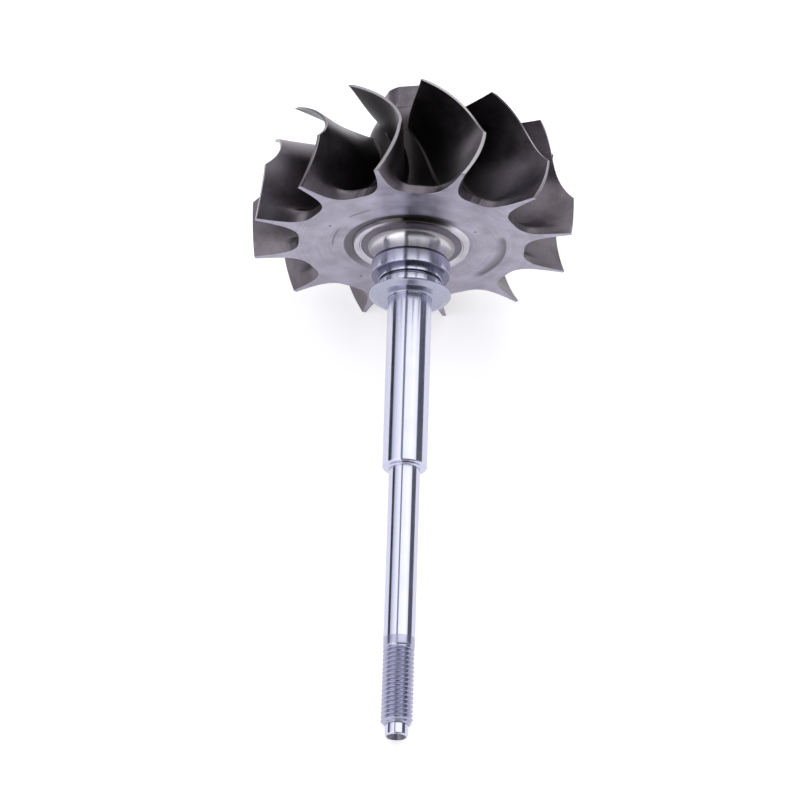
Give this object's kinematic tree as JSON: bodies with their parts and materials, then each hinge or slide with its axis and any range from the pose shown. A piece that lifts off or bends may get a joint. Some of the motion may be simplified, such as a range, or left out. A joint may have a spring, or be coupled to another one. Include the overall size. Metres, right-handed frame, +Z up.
{
  "type": "turbocharger turbine wheel with shaft",
  "caption": "Radial turbine wheel with a scalloped back disc and a hexagonal nose, welded to a stepped shaft with seal lands, a flange, a bearing journal and a threaded end.",
  "frame": {"origin": "on the surface that the rotor lies on, under the middle of its length and width", "axes": "+Z up; +Y along the rotor's length, towards the wheel's hexagonal nose; the shaft's threaded end lies towards -Y and its axis slopes down to it by 15.8 degrees; +X to the right when looking along +Y"},
  "size_m": [0.0734, 0.1526, 0.0726],
  "materials": {
    "cast_alloy": "blasted nickel alloy casting, dark grey-brown",
    "machined_face": "turned face, satin grey",
    "ground_steel": "ground and polished steel",
    "thread_steel": "rolled thread, duller steel"
  },
  "bodies": {
    "root": {"hub": "cast_alloy", "hexagon_nose": "cast_alloy", "back_disc": "machined_face", "blade_01": "cast_alloy", "blade_02": "cast_alloy", "blade_03": "cast_alloy", "blade_04": "cast_alloy", "blade_05": "cast_alloy", "blade_06": "cast_alloy", "blade_07": "cast_alloy", "blade_08": "cast_alloy", "blade_09": "cast_alloy", "blade_10": "cast_alloy", "blade_11": "cast_alloy", "blade_12": "cast_alloy", "weld_ring": "machined_face", "flared_neck": "ground_steel", "inner_seal_land": "ground_steel", "seal_ring_groove": "ground_steel", "outer_seal_land": "ground_steel", "slinger_flange": "ground_steel", "bearing_journal": "ground_steel", "shaft_stem": "ground_steel", "threaded_end": "thread_steel", "pilot_end": "ground_steel"}
  },
  "joints": []
}
